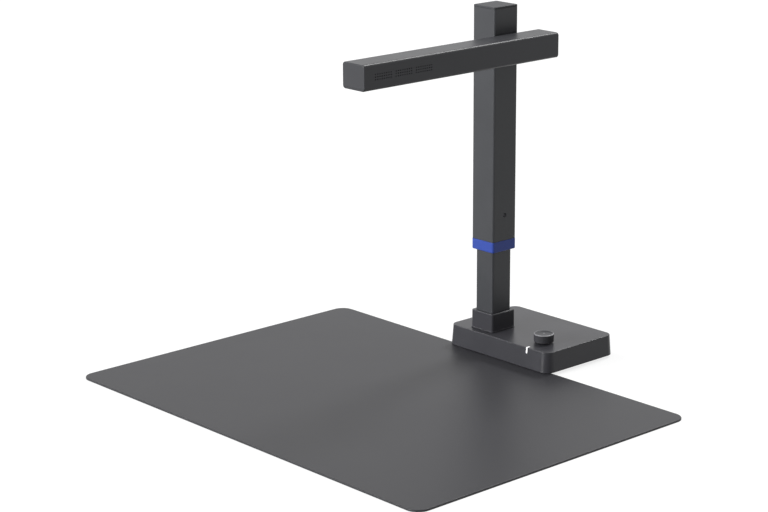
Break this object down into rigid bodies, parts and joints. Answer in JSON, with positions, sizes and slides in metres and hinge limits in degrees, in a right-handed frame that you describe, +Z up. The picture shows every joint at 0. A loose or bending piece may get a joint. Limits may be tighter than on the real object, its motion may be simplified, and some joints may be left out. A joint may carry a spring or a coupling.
{
  "type": "book scanner",
  "caption": "Overhead book scanner with a weighted base, telescopic column, folding camera arm with lamps, push-and-turn dial and a loose rubber page mat.",
  "frame": {"origin": "on the desk, in the middle of the whole object seen from above", "axes": "+X to the reader's right, +Y away from the reader, +Z up"},
  "size_m": [0.432, 0.385, 0.315],
  "materials": {
    "shell_plastic": "fine matt texture, dark grey",
    "arm_plastic": "fine matt texture, dark grey",
    "tube_metal": "dark grey matt coating",
    "blue_plastic": "satin blue",
    "mat_rubber": "dark grey, soft matt face",
    "foot_rubber": "black, matt",
    "light_plastic": "white light guide",
    "diffuser_plastic": "milky diffuser",
    "board_green": "circuit board laminate",
    "bright_steel": "plain",
    "block_alloy": "as cast",
    "black_steel": "black oxide",
    "barrel_alloy": "black anodised",
    "glide_nylon": "natural nylon",
    "lead_rubber": "black jacket",
    "holder_plastic": "black, matt",
    "lens_glass": "clear, coated, dark behind"
  },
  "bodies": {
    "base": {"base_housing": "shell_plastic", "status_light": "light_plastic", "base_plate": "shell_plastic", "foot_front_left": "foot_rubber", "foot_front_right": "foot_rubber", "foot_rear_left": "foot_rubber", "foot_rear_right": "foot_rubber", "base_screw_front_left": "black_steel", "base_screw_front_right": "black_steel", "base_screw_rear_left": "black_steel", "base_screw_rear_right": "black_steel", "ballast_plate": "bright_steel", "column_bolt_front": "black_steel", "column_bolt_rear": "black_steel", "main_board": "board_green", "board_screw_1": "bright_steel", "board_screw_2": "bright_steel", "power_socket": "bright_steel", "accessory_socket": "bright_steel", "dial_encoder": "bright_steel", "column_collar": "shell_plastic", "inner_tube": "tube_metal", "tube_foot_block": "block_alloy", "tube_cross_pin": "bright_steel", "tube_top_glide": "glide_nylon"},
    "upper_column": {"outer_tube": "tube_metal", "slide_band": "blue_plastic", "column_cap": "shell_plastic", "height_detent": "black_steel", "hinge_block": "block_alloy", "hinge_stop_pin": "bright_steel", "hinge_screw_upper": "bright_steel", "hinge_screw_lower": "bright_steel", "friction_washer": "glide_nylon"},
    "arm": {"arm_shell": "arm_plastic", "arm_cover": "arm_plastic", "arm_screw_front_left": "black_steel", "arm_screw_front_right": "black_steel", "arm_screw_rear": "black_steel", "pivot_shaft": "bright_steel", "pivot_nut": "bright_steel", "disc_spring": "bright_steel", "flange_screw_1": "bright_steel", "flange_screw_2": "bright_steel", "camera_window": "lens_glass", "camera_board": "board_green", "lens_holder": "holder_plastic", "lens_barrel": "barrel_alloy", "lens_glass": "lens_glass", "lamp_window_front": "diffuser_plastic", "lamp_window_rear": "diffuser_plastic", "lamp_board_front": "board_green", "lamp_board_rear": "board_green", "arm_board": "board_green", "arm_lead": "lead_rubber"},
    "rotor": {"encoder_rotor": "glide_nylon"},
    "dial": {"dial_cap": "arm_plastic", "dial_shaft": "bright_steel"},
    "mat": {"document_mat": "mat_rubber"}
  },
  "joints": [
    {"name": "column_slide", "type": "slide", "parent": "base", "child": "upper_column", "axis": [0, 0, 1], "range_m": [-0.0564, 0]},
    {"name": "arm_fold", "type": "hinge", "parent": "upper_column", "child": "arm", "pos_m": [-0.0146, 0.12787, 0.2798], "axis": [1, 0, 0], "range_deg": [0, 90]},
    {"name": "dial_turn", "type": "hinge", "parent": "base", "child": "rotor", "pos_m": [0.0356, 0.12798, 0.0208], "axis": [0, 0, 1], "continuous": true},
    {"name": "dial_push", "type": "slide", "parent": "rotor", "child": "dial", "axis": [0, 0, -1], "range_m": [0, 0.0005], "stiffness_N_per_m": 2500, "springref_m": -0.0004},
    {"name": "mat_slide", "type": "slide", "parent": "base", "child": "mat", "axis": [0, -1, 0], "range_m": [0, 0.04]}
  ]
}
